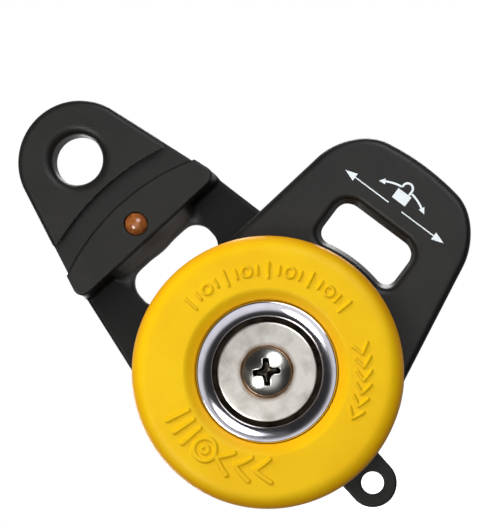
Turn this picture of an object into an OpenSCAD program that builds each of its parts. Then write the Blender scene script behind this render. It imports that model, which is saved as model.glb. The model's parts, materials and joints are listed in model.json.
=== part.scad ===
// Rope pulley (snatch block) with a cheek that swings open.
// The sheave turns about the Y axis and its centre is the origin. The front face looks
// towards -Y and the head with its eye points to +Z. All sizes are in millimetres.

/* [Sheave and rope] */
// Outside diameter of the sheave
sheave_d = 40; // [39:0.1:40.4]
// Diameter at the bottom of the rope groove
tread_d = 32; // [31.6:0.1:32.4]
// Largest rope that the groove takes
rope_d = 12; // [11:0.1:12.2]
// Width of the sheave
sheave_w = 13.8; // [13.6:0.05:13.9]

/* [Cheeks] */
// Distance between the inner faces of the two cheeks
cheek_gap = 14.6; // [14.5:0.05:14.7]
// Thickness of a cheek plate
plate_t = 3.7; // [3.4:0.1:4]
// Radius of the cheek plate round the sheave
plate_r = 24.8; // [24.4:0.1:25]
// Angle by which each side of a cheek leans in, in degrees
cheek_lean = 9.8; // [9:0.1:10.5]
// Radius of the arc at the end of the front cheek
cheek_end_r = 51.7; // [51.6:0.05:51.8]
// Angle that the front cheek stands open, clockwise from the head, in degrees
open_angle = 79.5; // [0:0.5:120]
// Width of the window in each cheek
window_w = 20; // [18:0.5:21]

/* [Head] */
// Height of the eye above the sheave centre
eye_z = 58.8; // [58.4:0.1:59.2]
// Diameter of the eye
eye_d = 10.3; // [9.5:0.1:10.8]
// Radius of the rounded top of the head
head_r = 12.7; // [12.5:0.1:13]
// Thickness of the head round the eye
head_t = 9.6; // [9.2:0.1:10]
// Angle by which each side of the head leans in, in degrees
head_lean = 15; // [14.5:0.1:15.5]
// Height of the flat lower edge of the head, over the rope
head_foot_z = 37.2; // [37:0.1:37.5]
// Top of the window in the rear cheek
rear_window_top = 35; // [35:0.1:35.4]
// Radius of the lip that holds the end of the front cheek
lip_r = 50.4; // [50.3:0.05:50.5]
// Radius of the ledge under the front cheek
ledge_r = 46.3; // [46.2:0.05:46.4]

/* [Becket] */
// Distance of the becket eye below the sheave centre
becket_z = 30.4; // [30:0.1:31]
// Diameter of the becket eye
becket_eye_d = 4.6; // [4.2:0.1:5]
// Radius of the rounded end of the becket
becket_r = 4.95; // [4.7:0.05:5.1]

/* [Hub and bearing] */
// Diameter of the hub sleeve on which the front cheek and the ball races sit
hub_d = 18.5; // [18.4:0.02:18.6]
// Diameter of the threaded axle inside the hub sleeve
axle_d = 9; // [8:0.5:10]
// Wall of the wrapped bush
bush_wall = 1.5; // [1.4:0.05:1.5]
// Diameter of a bearing ball
ball_d = 4; // [3.98:0.01:4]
// Number of balls in each row
ball_count = 12; // [8:1:12]

/* [Rings and screws] */
// Outside diameter of a rubber ring
ring_d = 54; // [53:0.2:54.4]
// Height of a rubber ring above its cheek
ring_h = 6.8; // [6.6:0.1:7]
// Outside diameter of a flared metal cup
cup_d = 28.2; // [27.8:0.1:28.4]
// Diameter of an end washer
washer_d = 19.7; // [19.4:0.1:19.8]
// Diameter of a screw head
screw_head_d = 10.1; // [9.6:0.1:10.4]

/* [Detent] */
// Diameter of the spring-loaded ball
detent_d = 5; // [4.9:0.05:5]
// Height of the detent ball above the sheave centre
detent_z = 41; // [40.8:0.05:41.2]

/* [Hidden] */
$fn = 96;

eps = 0.01;
fit_gap = 0.3;                              // gap between sliding cheek and head
gap_half = cheek_gap / 2;
cheek_out = gap_half + plate_t;             // outer face of a cheek, from the mid-plane
window_half = window_w / 2;
window_foot_r = 27.4;
web_y = -1.4;                               // front edge of the web under the head
plate_end_z = 40;                           // the rear cheek's plate ends here, inside the head
plate_corner_r = 7.5;

// Bearing: balls run in grooves in the hub sleeve and in the bore of the sheave
hub_r = hub_d / 2;
ball_ring_r = 11;
ball_y = 3.6;
ball_play = 0.03;
sheave_bore_r = 12.6;
sheave_half = sheave_w / 2;
groove_r = rope_d / 2 + 0.2;
cage_in = 9.6;
cage_out = 12.3;
cage_half = 1.7;

// Stack of parts along the axle, as distances from the mid-plane
thrust_in = sheave_half + 0.1;
thrust_out = gap_half + 0.6;
thrust_r = 14.8;
washer_t = 2;
washer_face = 15.6;
hub_end = washer_face - washer_t;
bush_end = hub_end - 0.1;
seat_depth = 0.8;
screw_seat = washer_face - seat_depth;
screw_head_h = 2.8;
screw_top = screw_seat + screw_head_h;
shank_d = 5;
shank_len = 12;

// Flared cup that joins the bush to the cheek
bush_in = hub_r + 0.05;
bush_out = bush_in + bush_wall;
cup_in = bush_out + 0.05;
cup_neck = cup_in + 0.8;
cup_r = cup_d / 2;
cup_lip = 16.8;
boss_r = 15.4;
boss_y = cheek_out + 2.2;

// Rubber ring
ring_r = ring_d / 2;
ring_top = cheek_out + ring_h;
ring_bore = cup_r + 0.1;

// Head: the face of the eye, the ledge and the floor of the arc groove, from the mid-plane
head_face = head_t / 2;
ledge_y = 3;
floor_y = 2;
undercut = 1.7;
eye_fillet = 1.9;
head_centre_z = eye_z - 0.7;
ramp_z0 = 41;
ramp_z1 = 50;
ledge_step = 0.45;

// End of the front cheek: a bar behind the plate, and a grooved rim that takes the lip
bar_z = 38.4;
bar_y = ledge_y + fit_gap;
rim_y = floor_y + fit_gap;
neck_y = head_face + fit_gap;
neck_r = lip_r - fit_gap;
rim_in = ledge_r + fit_gap;

// Becket and the post that carries it
becket_y0 = 1.5;
becket_y1 = 4.5;
post_z0 = 21.4;

// Detent
detent_r = detent_d / 2;
detent_sink = 1.43;
detent_y = -ledge_y + detent_sink;
detent_mouth = 2.4;
pocket_r = detent_r + 0.05;
plug_r = 3;
plug_y = 6;
spring_r = 1.9;
spring_wire = 0.5;
spring_turns = 5;
track_half = 2.1;
track_y = bar_y + 1.3;

// --- Helpers ---------------------------------------------------------------------------

// Points along an arc about c, from angle a0 to a1
function arc(c, r, a0, a1, n = 12) =
    [for (i = [0:n]) c + r * [cos(a0 + (a1 - a0) * i / n), sin(a0 + (a1 - a0) * i / n)]];

// A flat shape drawn in the X-Z plane, made solid from y0 to y1
module slab(y0, y1) {
    rotate([90, 0, 0]) translate([0, 0, -y1]) linear_extrude(y1 - y0) children();
}

// A ring turned about the Y axis, from points given as [radius, y]
module lathe(points) {
    rotate([90, 0, 0]) rotate_extrude() polygon([for (p = points) [p[0], -p[1]]]);
}

// A rod along the Y axis
module rod(r, y0, y1) {
    translate([0, y1, 0]) rotate([90, 0, 0]) cylinder(r = r, h = y1 - y0);
}

module rear_side() {
    mirror([0, 1, 0]) children();
}

// Turns a part of the front cheek to where it stands open
module opened() {
    rotate([0, open_angle, 0]) children();
}

// --- Outlines --------------------------------------------------------------------------

// Cheek plate: a disc round the sheave with two sides that lean in to end_r
module cheek_outline(end_r) {
    reach = end_r - plate_corner_r;
    turn = cheek_lean + acos((plate_r - plate_corner_r) / reach);
    right = reach * [cos(turn), sin(turn)];
    left = [-right[0], right[1]];
    polygon(concat(
        arc(right, plate_corner_r, cheek_lean, turn),
        arc([0, 0], end_r, turn, 180 - turn, 24),
        arc(left, plate_corner_r, 180 - turn, 180 - cheek_lean),
        arc([0, 0], plate_r, 180 - cheek_lean, 360 + cheek_lean, 60)));
}

// Window in a cheek: its foot follows the rubber ring and its top is flat
module window_outline(top_z) {
    foot_corner = 4;
    foot_x = window_half - foot_corner;
    foot_z = sqrt(pow(window_foot_r + foot_corner, 2) - pow(foot_x, 2));
    top_corner = min(4.2, top_z - foot_z - 0.1);
    a = acos(foot_x / (window_foot_r + foot_corner));
    top = [window_half - top_corner, top_z - top_corner];
    polygon(concat(
        arc([foot_x, foot_z], foot_corner, a - 180, 0),
        arc(top, top_corner, 0, 90),
        arc([-top[0], top[1]], top_corner, 90, 180),
        arc([-foot_x, foot_z], foot_corner, 180, 360 - a),
        arc([0, 0], window_foot_r, 180 - a, a)));
}

// Head: a round top with two straight sides down to foot_z, step wider if asked
module head_outline(foot_z, step = 0, corner = 2.5) {
    reach = head_centre_z * sin(head_lean) + head_r + step;
    foot_c = foot_z + corner;
    foot_x = (reach - corner - foot_c * sin(head_lean)) / cos(head_lean);
    polygon(concat(
        arc([foot_x, foot_c], corner, -90, head_lean, 8),
        arc([0, head_centre_z], head_r + step, head_lean, 180 - head_lean, 32),
        arc([-foot_x, foot_c], corner, 180 - head_lean, 270, 8)));
}

// --- Cheeks ----------------------------------------------------------------------------

// Solid head before its groove is cut: thin round the eye, full depth over the rope
module head_blank() {
    top = head_centre_z + head_r + 5;
    intersection() {
        slab(-20, 20) head_outline(head_foot_z);
        translate([-30, 0, 0]) rotate([90, 0, 90]) linear_extrude(60) polygon([
            [-head_face, head_foot_z - 5], [cheek_out, head_foot_z - 5],
            [cheek_out, ramp_z0], [head_face, ramp_z1], [head_face, top], [-head_face, top]]);
    }
    intersection() {
        slab(-ledge_y, cheek_out) head_outline(head_foot_z, ledge_step);
        rod(ledge_r, -20, 20);
        translate([-30, -20, 0]) cube([60, 40, ramp_z0 + 2]);
    }
}

// Sloping web between the legs, from the front of the ledge down to the top of the window
module throat_web() {
    foot = head_foot_z + eps;
    translate([-window_half, 0, 0]) rotate([90, 0, 90]) linear_extrude(window_w)
        polygon([[web_y, foot], [gap_half + 1, foot], [gap_half + 1, rear_window_top]]);
}

// The arc groove, the ledge below it and the undercut lip above it
module head_groove() {
    far = lip_r + undercut;
    lathe([[30, -9], [lip_r, -9], [lip_r, -head_face], [far, -head_face + undercut + 0.2],
        [far, -floor_y], [ledge_r, -floor_y], [ledge_r, -ledge_y], [30, -ledge_y]]);
}

// The eye, with a rounded edge on both faces
module eye_hole() {
    r = eye_d / 2;
    out = r + eye_fillet;
    side = head_face - eye_fillet;
    translate([0, 0, eye_z]) lathe(concat(
        [[0, -10], [out, -10]],
        arc([out, -side], eye_fillet, 270, 180, 8),
        arc([out, side], eye_fillet, 180, 90, 8),
        [[out, 20], [0, 20]]));
}

// Pocket for the detent ball, its spring and its plug
module detent_pocket() {
    translate([0, 0, detent_z]) {
        translate([0, detent_y, 0]) sphere(r = pocket_r);
        rod(detent_mouth, -6, detent_y);
        rod(pocket_r, detent_y, plug_y + eps);
        rod(plug_r, plug_y, 20);
    }
}

// Boss round the spring, flush with the foot of the head in front and wider at the back
module detent_boss() {
    front_r = detent_z - head_foot_z;
    rear_r = detent_z - rear_window_top + 0.2;
    translate([0, 0, detent_z])
        lathe([[0, web_y], [front_r, web_y], [rear_r, gap_half], [rear_r, cheek_out], [0, cheek_out]]);
}

module becket() {
    difference() {
        union() {
            translate([0, 0, -becket_z]) rod(becket_r, becket_y0, becket_y1);
            translate([-becket_r, becket_y0, -becket_z])
                cube([2 * becket_r, becket_y1 - becket_y0, becket_z - post_z0]);
            translate([-becket_r, becket_y1 - eps, -plate_r + 0.5])
                cube([2 * becket_r, gap_half - becket_y1 + 1, plate_r - 0.5 - post_z0]);
        }
        translate([0, 0, -becket_z]) rod(becket_eye_d / 2, becket_y0 - 1, becket_y1 + 1);
    }
}

// Recesses that both cheeks have round the axle
module hub_recesses() {
    rod(cup_neck, -boss_y - 1, 0);
    rod(thrust_r + 0.1, -thrust_out, 0);
}

module rear_cheek() {
    color([0.2, 0.2, 0.19]) difference() {
        union() {
            intersection() {
                slab(gap_half, cheek_out) cheek_outline(cheek_end_r);
                translate([0, 0, plate_end_z - 50]) cube(100, center = true);
            }
            rear_side() rod(boss_r, -boss_y, -cheek_out + eps);
            head_blank();
            throat_web();
            detent_boss();
            becket();
        }
        slab(gap_half - 1, cheek_out + 1) window_outline(rear_window_top);
        rear_side() hub_recesses();
        head_groove();
        eye_hole();
        detent_pocket();
    }
}

// Everything of the front cheek that may stand behind its plate near its end
module rim_space() {
    lathe([[30, -cheek_out - 1], [cheek_end_r, -cheek_out - 1], [cheek_end_r, -neck_y],
        [neck_r, -neck_y], [cheek_end_r, -neck_y + cheek_end_r - neck_r + 0.2],
        [cheek_end_r, -rim_y], [rim_in, -rim_y], [rim_in, -bar_y], [30, -bar_y]]);
}

module front_cheek() {
    color([0.2, 0.2, 0.19]) opened() difference() {
        union() {
            slab(-cheek_out, -gap_half) cheek_outline(cheek_end_r);
            intersection() {
                slab(-gap_half - eps, -rim_y) cheek_outline(cheek_end_r);
                translate([-30, -20, bar_z]) cube([60, 20, 20]);
            }
            rod(boss_r, -boss_y, -cheek_out + eps);
        }
        difference() {
            rod(70, -neck_y - 3, -1);
            rod(30, -20, 1);
            rim_space();
        }
        slab(-cheek_out - 1, -1) window_outline(bar_z);
        hub_recesses();
        lathe([[detent_z - track_half, -track_y], [detent_z + track_half, -track_y],
            [detent_z + track_half, -1], [detent_z - track_half, -1]]);
        translate([0, -ledge_y - 0.6, detent_z]) sphere(r = detent_r + 0.1);
    }
}

// --- Sheave and bearing ----------------------------------------------------------------

module ball_groove(y) {
    rotate([90, 0, 0]) rotate_extrude()
        translate([ball_ring_r, -y]) circle(r = ball_d / 2 + ball_play);
}

module sheave() {
    color([0.35, 0.36, 0.38]) difference() {
        rod(sheave_d / 2, -sheave_half, sheave_half);
        rod(sheave_bore_r, -10, 10);
        rotate([90, 0, 0]) rotate_extrude()
            translate([tread_d / 2 + groove_r, 0]) circle(r = groove_r);
        for (y = [-ball_y, ball_y]) ball_groove(y);
    }
}

module hub_sleeve() {
    color([0.7, 0.71, 0.73]) difference() {
        rod(hub_r, -hub_end, hub_end);
        rod(axle_d / 2, -20, 20);
        for (y = [-ball_y, ball_y]) ball_groove(y);
    }
}

module axle_stud() {
    color([0.62, 0.63, 0.65]) difference() {
        rod(axle_d / 2, -hub_end, hub_end);
        rod(shank_d / 2, -20, 20);
    }
}

module ball_ring(y, r) {
    for (i = [0:ball_count - 1])
        rotate([0, 360 * i / ball_count, 0]) translate([ball_ring_r, y, 0]) sphere(r = r);
}

module front_balls() {
    color([0.62, 0.38, 0.16]) ball_ring(-ball_y, ball_d / 2);
}

module rear_balls() {
    color([0.62, 0.38, 0.16]) ball_ring(ball_y, ball_d / 2);
}

module cage(y) {
    difference() {
        lathe([[cage_in, y - cage_half], [cage_out, y - cage_half],
            [cage_out, y + cage_half], [cage_in, y + cage_half]]);
        ball_ring(y, ball_d / 2 + 0.05);
    }
}

module front_cage() {
    color([0.85, 0.85, 0.82]) cage(-ball_y);
}

module rear_cage() {
    color([0.85, 0.85, 0.82]) cage(ball_y);
}

// --- Parts that both sides have, drawn for the front --------------------------------------

// Wrapped bush with its open seam
module bush() {
    difference() {
        rod(bush_out, -bush_end, -thrust_out);
        rod(bush_in, -20, 0);
        rotate([0, -62, 0]) translate([0, -20, -0.15]) cube([20, 20, 0.3]);
    }
}

module thrust_washer() {
    lathe([[bush_in + 0.1, -thrust_out], [thrust_r, -thrust_out],
        [thrust_r, -thrust_in], [bush_in + 0.1, -thrust_in]]);
}

// Thin metal cup: a neck round the bush, and a rolled flare at the front
module cup() {
    flare = 4;
    lip = 0.6;
    shallow = 5;
    lip_c = [cup_r - lip, -cup_lip + lip];
    flare_c = lip_c + (flare - lip) * [sin(shallow), cos(shallow)];
    steep = asin((flare_c[0] - cup_in) / flare);
    lathe(concat(
        [[cup_in, -thrust_out]],
        arc(flare_c, flare, 270 - steep, 270 - shallow, 8),
        arc(lip_c, lip, 270 - shallow, 360, 8),
        [[cup_r, -cup_lip + 1.6], [cup_neck + 1.3, -cup_lip + 1.6],
            [cup_neck, -cup_lip + 2.9], [cup_neck, -thrust_out]]));
}

// Rubber ring with a crowned face, round outside and a step down to the cup
module rubber_ring() {
    edge = 3.6;
    lathe(concat(
        [[ring_bore, -boss_y - 0.1], [ring_bore, -ring_top + 1.2], [15.4, -ring_top + 0.7],
            [15.9, -ring_top + 0.15], [19, -ring_top]],
        arc([ring_r - edge, -ring_top + edge + 0.15], edge, 270, 360, 10),
        [[ring_r, -cheek_out], [boss_r + 0.1, -cheek_out], [boss_r + 0.1, -boss_y - 0.1]]));
}

module washer() {
    difference() {
        rod(washer_d / 2, -washer_face, -hub_end);
        rod(shank_d / 2 + 0.15, -20, 0);
        rod(screw_head_d / 2 + 0.15, -20, -screw_seat);
    }
}

// Pan-head screw with a cross recess
module screw() {
    head_r = screw_head_d / 2;
    dome = screw_head_h - 1;
    dome_r = (head_r * head_r + dome * dome) / (2 * dome);
    span = asin(head_r / dome_r);
    difference() {
        union() {
            lathe(concat([[0, -screw_seat], [head_r, -screw_seat]],
                arc([0, -screw_top + dome_r], dome_r, 270 + span, 270, 10)));
            rod(shank_d / 2 - 0.05, -screw_seat - eps, -screw_seat + shank_len);
        }
        for (a = [37, 127]) rotate([0, a, 0]) translate([-2.7, -screw_top - 1, -0.55])
            cube([5.4, 3, 1.1]);
        translate([0, -screw_top + 2.6, 0]) rotate([90, 0, 0]) cylinder(r1 = 0.4, r2 = 1.7, h = 3);
    }
}

module front_bush() {
    color([0.6, 0.42, 0.2]) opened() bush();
}

module rear_bush() {
    color([0.6, 0.42, 0.2]) rear_side() bush();
}

module front_thrust_washer() {
    color([0.9, 0.9, 0.88]) opened() thrust_washer();
}

module rear_thrust_washer() {
    color([0.9, 0.9, 0.88]) rear_side() thrust_washer();
}

module front_cup() {
    color([0.8, 0.8, 0.84]) opened() cup();
}

module rear_cup() {
    color([0.8, 0.8, 0.84]) rear_side() cup();
}

module front_rubber_ring() {
    color([0.96, 0.78, 0.08]) opened() rubber_ring();
}

module rear_rubber_ring() {
    color([0.96, 0.78, 0.08]) rear_side() rubber_ring();
}

module front_washer() {
    color([0.75, 0.74, 0.7]) washer();
}

module rear_washer() {
    color([0.75, 0.74, 0.7]) rear_side() washer();
}

module front_screw() {
    color([0.72, 0.71, 0.68]) screw();
}

module rear_screw() {
    color([0.72, 0.71, 0.68]) rear_side() screw();
}

// --- Detent ----------------------------------------------------------------------------

module detent_ball() {
    color([0.6, 0.33, 0.13]) translate([0, detent_y, detent_z]) sphere(r = detent_r);
}

// Coil spring, drawn as a stack of rings
module detent_spring() {
    from = detent_y + detent_r + spring_wire / 2 - 0.4;
    pitch = (plug_y - spring_wire / 2 - from) / (spring_turns - 1);
    color([0.7, 0.7, 0.72]) for (i = [0:spring_turns - 1])
        translate([0, from + i * pitch, detent_z]) rotate([90, 0, 0])
            rotate_extrude() translate([spring_r, 0]) circle(d = spring_wire, $fn = 24);
}

module detent_plug() {
    color([0.5, 0.5, 0.52]) translate([0, 0, detent_z]) difference() {
        rod(plug_r, plug_y, cheek_out - 0.3);
        rotate([90, 0, 0]) translate([0, 0, -20]) cylinder(d = 3.4, h = 12, $fn = 6);
    }
}

rear_cheek();
front_cheek();
sheave();
hub_sleeve();
axle_stud();
front_balls();
rear_balls();
front_cage();
rear_cage();
front_bush();
rear_bush();
front_thrust_washer();
rear_thrust_washer();
front_cup();
rear_cup();
front_rubber_ring();
rear_rubber_ring();
front_washer();
rear_washer();
front_screw();
rear_screw();
detent_ball();
detent_spring();
detent_plug();
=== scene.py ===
"""Rope pulley (snatch block): smooth moulded cheeks, rubber rings, polished metal and the
materials of every part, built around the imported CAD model. Lengths are in millimetres until
a mesh is made. X and Z span the cheeks, the axle lies along Y and the front looks to -Y.
"""

import itertools
import json
import math

import bpy
import numpy as np
from mathutils import Matrix, Vector


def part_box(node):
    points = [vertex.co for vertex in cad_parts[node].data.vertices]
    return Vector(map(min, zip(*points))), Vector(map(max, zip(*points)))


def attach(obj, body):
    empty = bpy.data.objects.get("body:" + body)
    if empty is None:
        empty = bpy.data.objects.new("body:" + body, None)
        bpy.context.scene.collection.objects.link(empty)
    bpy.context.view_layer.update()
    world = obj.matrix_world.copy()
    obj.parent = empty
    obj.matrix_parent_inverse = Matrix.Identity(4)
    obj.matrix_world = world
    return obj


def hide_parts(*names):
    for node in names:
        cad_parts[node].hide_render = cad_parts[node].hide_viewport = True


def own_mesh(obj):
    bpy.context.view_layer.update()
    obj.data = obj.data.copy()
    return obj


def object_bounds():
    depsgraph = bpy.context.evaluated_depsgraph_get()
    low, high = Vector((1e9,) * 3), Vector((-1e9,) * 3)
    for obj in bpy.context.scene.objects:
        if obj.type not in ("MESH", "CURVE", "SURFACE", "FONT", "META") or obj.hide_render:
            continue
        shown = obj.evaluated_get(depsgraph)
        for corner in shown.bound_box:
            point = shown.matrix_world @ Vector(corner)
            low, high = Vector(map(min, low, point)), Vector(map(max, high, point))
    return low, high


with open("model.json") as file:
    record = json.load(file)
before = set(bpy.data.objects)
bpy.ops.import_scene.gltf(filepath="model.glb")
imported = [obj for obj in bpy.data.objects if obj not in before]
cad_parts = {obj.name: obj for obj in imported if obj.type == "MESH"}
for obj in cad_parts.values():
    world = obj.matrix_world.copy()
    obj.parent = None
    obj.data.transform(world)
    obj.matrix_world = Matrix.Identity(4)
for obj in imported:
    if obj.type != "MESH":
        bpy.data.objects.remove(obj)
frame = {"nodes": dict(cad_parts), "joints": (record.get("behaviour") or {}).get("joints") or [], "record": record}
cad_low, cad_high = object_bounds()

MM = 0.001
CHEEK_STEP = 0.25        # grid that the moulded cheeks are made on
SCREW_STEP = 0.08
TURNS = 1080              # points round a rubber ring


def box_mm(node):
    """Lowest and highest corner of a CAD node, in millimetres."""
    low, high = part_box(node)
    return np.array(low) / MM, np.array(high) / MM


# --- Sizes taken from the frame -------------------------------------------------------------

joints = {j["name"]: j for j in frame["joints"]}
OPEN_ANGLE = -joints["cheek_swing"]["range_deg"][0]
mounts = {m["name"]: m for m in frame["record"]["mounts"]}
EYE_Z = mounts["head_eye"]["pos_m"][2] / MM
EYE_R = mounts["head_eye"]["dims"]["r_mm"]
BECKET_Z = mounts["becket_eye"]["pos_m"][2] / MM
BECKET_HOLE_R = mounts["becket_eye"]["dims"]["r_mm"]

ring_low, ring_high = box_mm("front_rubber_ring")
RING_R = ring_high[0]
RING_TOP = -ring_low[1]
CHEEK_OUT = -ring_high[1]
SHEAVE_R, SHEAVE_HALF = box_mm("sheave")[1][:2]
cup_low, cup_high = box_mm("front_cup")
CUP_R = cup_high[0]
CUP_LIP = -cup_low[1]
THRUST_OUT = -cup_high[1]
washer_low, washer_high = box_mm("front_washer")
WASHER_R = washer_high[0]
WASHER_FACE = -washer_low[1]
WASHER_BACK = -washer_high[1]
screw_low, screw_high = box_mm("front_screw")
SCREW_R = screw_high[0]
SCREW_TOP = -screw_low[1]
SCREW_END = screw_high[1]
SCREW_RISE = 1.8                            # how far the dome stands over its rim
SCREW_TURN = 37
SHANK_R = 2.45
CROSS_ARM, ARM_TAPER = 3.05, 0.55           # half length at the top, and what it loses per mm
CROSS_HALF, HALF_TAPER = 0.62, 0.1          # half width, likewise
CROSS_DEPTH = 2.2
HEAD_DEEP = 2.8
SCREW_DOME_R = (SCREW_R ** 2 + SCREW_RISE ** 2) / (2 * SCREW_RISE)
detent_low, detent_high = box_mm("detent_ball")
DETENT = (detent_low + detent_high) / 2
DETENT_R = (detent_high[0] - detent_low[0]) / 2
PLUG_Y = box_mm("detent_plug")[0][1]

# --- Sizes of the moulded cheeks ------------------------------------------------------------

GAP_HALF = 7.3                              # inner face of a cheek plate, from the mid-plane
PLATE_MID = (GAP_HALF + CHEEK_OUT) / 2
PLATE_HALF = (CHEEK_OUT - GAP_HALF) / 2
PLATE_R = 24.8                              # disc round the axle
CHEEK_LEAN = math.radians(9.8)              # of the sides above it
PLATE_CORNER = 7.5
END_R = 51.7                                # arc at the end of the front cheek
WINDOW_HALF = 10.0
REAR_WINDOW_TOP = 35.0
WINDOW_FOOT_R = 27.4                        # arc that ends both windows below
WINDOW_CORNER, FOOT_CORNER = 4.2, 4.0
WINDOW_TOP = 38.4                           # at the front face; the wall leans in behind it
WINDOW_DRAFT, DRAFT_DEPTH = 1.2, 4.0
WEB_FRONT_Y = -1.4                          # web from the rear plate to the underside of the head
PLATE_END_Z = 40.0
BOSS_R = 15.4                               # boss that the rubber ring sits round
BOSS_Y = CHEEK_OUT + 2.2
NECK_R = 11.65                              # bore of a cheek, round the neck of the cup
THRUST_R = 14.9                             # recess for the thrust washer

HEAD_R = 12.7
HEAD_CENTRE_Z = EYE_Z - 0.7
HEAD_LEAN = math.radians(15)
HEAD_FOOT_Z = 37.2
HEAD_FOOT_CORNER = 2.5
HEAD_FACE = 4.8                             # half the thickness of the head
LEDGE_Y = 3.0                               # front of the ledge that the front cheek lies on
FLOOR_Y = 2.0                               # floor of the groove between the ledge and the lip
LIP_R = 50.4
UNDERCUT, LIP_DEPTH = 1.7, 1.9              # how far the lip leans, over its height
LEDGE_R = 46.3
LEDGE_STEP = 0.45                           # how far the ledge stands out past the head's sides
LEDGE_TOP_Z = 43.5
RAMP_Z = (41.0, 50.0)                       # slope at the rear, from the plate up to the head
EYE_ROUND = 2.1

BAR_Y = 3.3                                 # back of the thick end of the front cheek
RIM_Y = 2.3                                 # back of the rim that enters the groove
RIM_IN = 46.6
NOTCH_Y = 5.1                               # step in the cheek's end, under the lip
NOTCH_R = 50.1
TRACK_HALF = 2.1                            # track that the detent ball runs in
TRACK_Y = 4.6

DETENT_MOUTH = 2.4                          # countersink round the ball
DETENT_PLAY = 0.05
PLUG_BORE_R = 3.0

BECKET_R = 4.95
BECKET_MID, BECKET_HALF = 3.0, 1.5
POST_Z = (-24.3, -21.4)
POST_MID, POST_HALF = PLATE_MID - 2.5, 4.0  # along the axle


# --- Solids as distance fields --------------------------------------------------------------
# A field is a function of x, y and z that is negative inside the solid.

def smooth_max(a, b, r):
    """Where both fields hold, with the edge between them rounded to radius r."""
    return np.minimum(-r, np.maximum(a, b)) + np.hypot(np.maximum(a + r, 0), np.maximum(b + r, 0))


def smooth_min(a, b, r):
    """Both solids together, with the corner between them filled to radius r."""
    return -smooth_max(-a, -b, r)


def minus(a, b, r):
    return smooth_max(a, -b, r)


def lean_side(x, z, centre_z, radius, lean):
    """A disc whose two sides run on as straight tangents, away from the end at +z."""
    up = (z - centre_z) * math.cos(lean) - np.abs(x) * math.sin(lean)
    flat = np.abs(x) * math.cos(lean) + (z - centre_z) * math.sin(lean) - radius
    return up, flat


def cheek_shape(x, z, end_r):
    """Disc round the sheave below, two sides leaning in above, and an arc at the end."""
    up, flat = lean_side(x, z, 0, PLATE_R, CHEEK_LEAN)
    r = np.hypot(x, z)
    side = np.where(up < 0, r - PLATE_R, flat)
    return smooth_max(side, r - end_r, PLATE_CORNER)


def head_shape(x, z, step=0.0):
    """Round end over two straight sides; step makes it that much wider all round."""
    up, flat = lean_side(x, z, HEAD_CENTRE_Z, HEAD_R + step, HEAD_LEAN)
    end = np.hypot(x, z - HEAD_CENTRE_Z) - HEAD_R - step
    return smooth_max(np.where(up > 0, end, flat), HEAD_FOOT_Z - z, HEAD_FOOT_CORNER)


def window_shape(x, z, top):
    """Window between the sheave's disc below and a straight edge on top."""
    sides_and_top = smooth_max(np.abs(x) - WINDOW_HALF, z - top, WINDOW_CORNER)
    return smooth_max(sides_and_top, WINDOW_FOOT_R - np.hypot(x, z), FOOT_CORNER)


def hub_recesses(x, y, z, side):
    """Bore for the cup and recess for the thrust washer; side is -1 at the front."""
    r = np.hypot(x, z)
    recess = np.maximum(r - THRUST_R, side * y - THRUST_OUT)
    return np.minimum(r - NECK_R, recess)


def head_solid(x, y, z):
    """Head with its eye, the lip, the arc groove and the ledge under the front cheek."""
    r = np.hypot(x, z)
    ramp_run = RAMP_Z[1] - RAMP_Z[0]
    ramp_rise = CHEEK_OUT - HEAD_FACE
    ramp = ((y - CHEEK_OUT) * ramp_run + (z - RAMP_Z[0]) * ramp_rise) / math.hypot(ramp_run, ramp_rise)
    rear = smooth_min(y - HEAD_FACE, smooth_max(y - CHEEK_OUT, ramp, 4.0), 5.0)
    outline = head_shape(x, z)
    head = smooth_max(outline, -HEAD_FACE - y, 1.3)
    head = smooth_max(head, rear, 1.3)
    lean = (r - LIP_R) * LIP_DEPTH - (y + HEAD_FACE) * UNDERCUT
    slant = lean / math.hypot(LIP_DEPTH, UNDERCUT)
    slant = np.where(y < -HEAD_FACE, r - LIP_R, slant)
    slant = smooth_max(slant, r - LIP_R - UNDERCUT, 0.3)
    step = smooth_min(y + LEDGE_Y, smooth_max(y + FLOOR_Y, LEDGE_R - r, 0.15), 0.5)
    head = minus(head, smooth_max(slant, step, 0.2), 0.18)
    ledge = smooth_max(head_shape(x, z, LEDGE_STEP), r - LEDGE_R, 0.15)
    ledge = smooth_max(ledge, z - LEDGE_TOP_Z, 1.0)
    ledge = smooth_max(ledge, -LEDGE_Y - y, 0.5)
    ledge = smooth_max(ledge, y - CHEEK_OUT, 0.9)
    return np.minimum(head, ledge)


def becket_solid(x, y, z):
    """Thin lug with the small eye, and the post that carries it."""
    lug_2d = np.where(z > BECKET_Z, np.abs(x), np.hypot(x, z - BECKET_Z)) - BECKET_R
    lug_2d = smooth_max(lug_2d, z - POST_Z[1], 0.8)
    lug = smooth_max(lug_2d, np.abs(y - BECKET_MID) - BECKET_HALF, 0.5)
    post_2d = np.maximum(np.abs(x) - BECKET_R, np.maximum(POST_Z[0] - z, z - POST_Z[1]))
    post = smooth_max(post_2d, np.abs(y - POST_MID) - POST_HALF, 0.5)
    solid = smooth_min(lug, post, 0.8)
    hole = np.hypot(x, z - BECKET_Z) - BECKET_HOLE_R
    return minus(solid, hole, 0.35)


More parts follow.
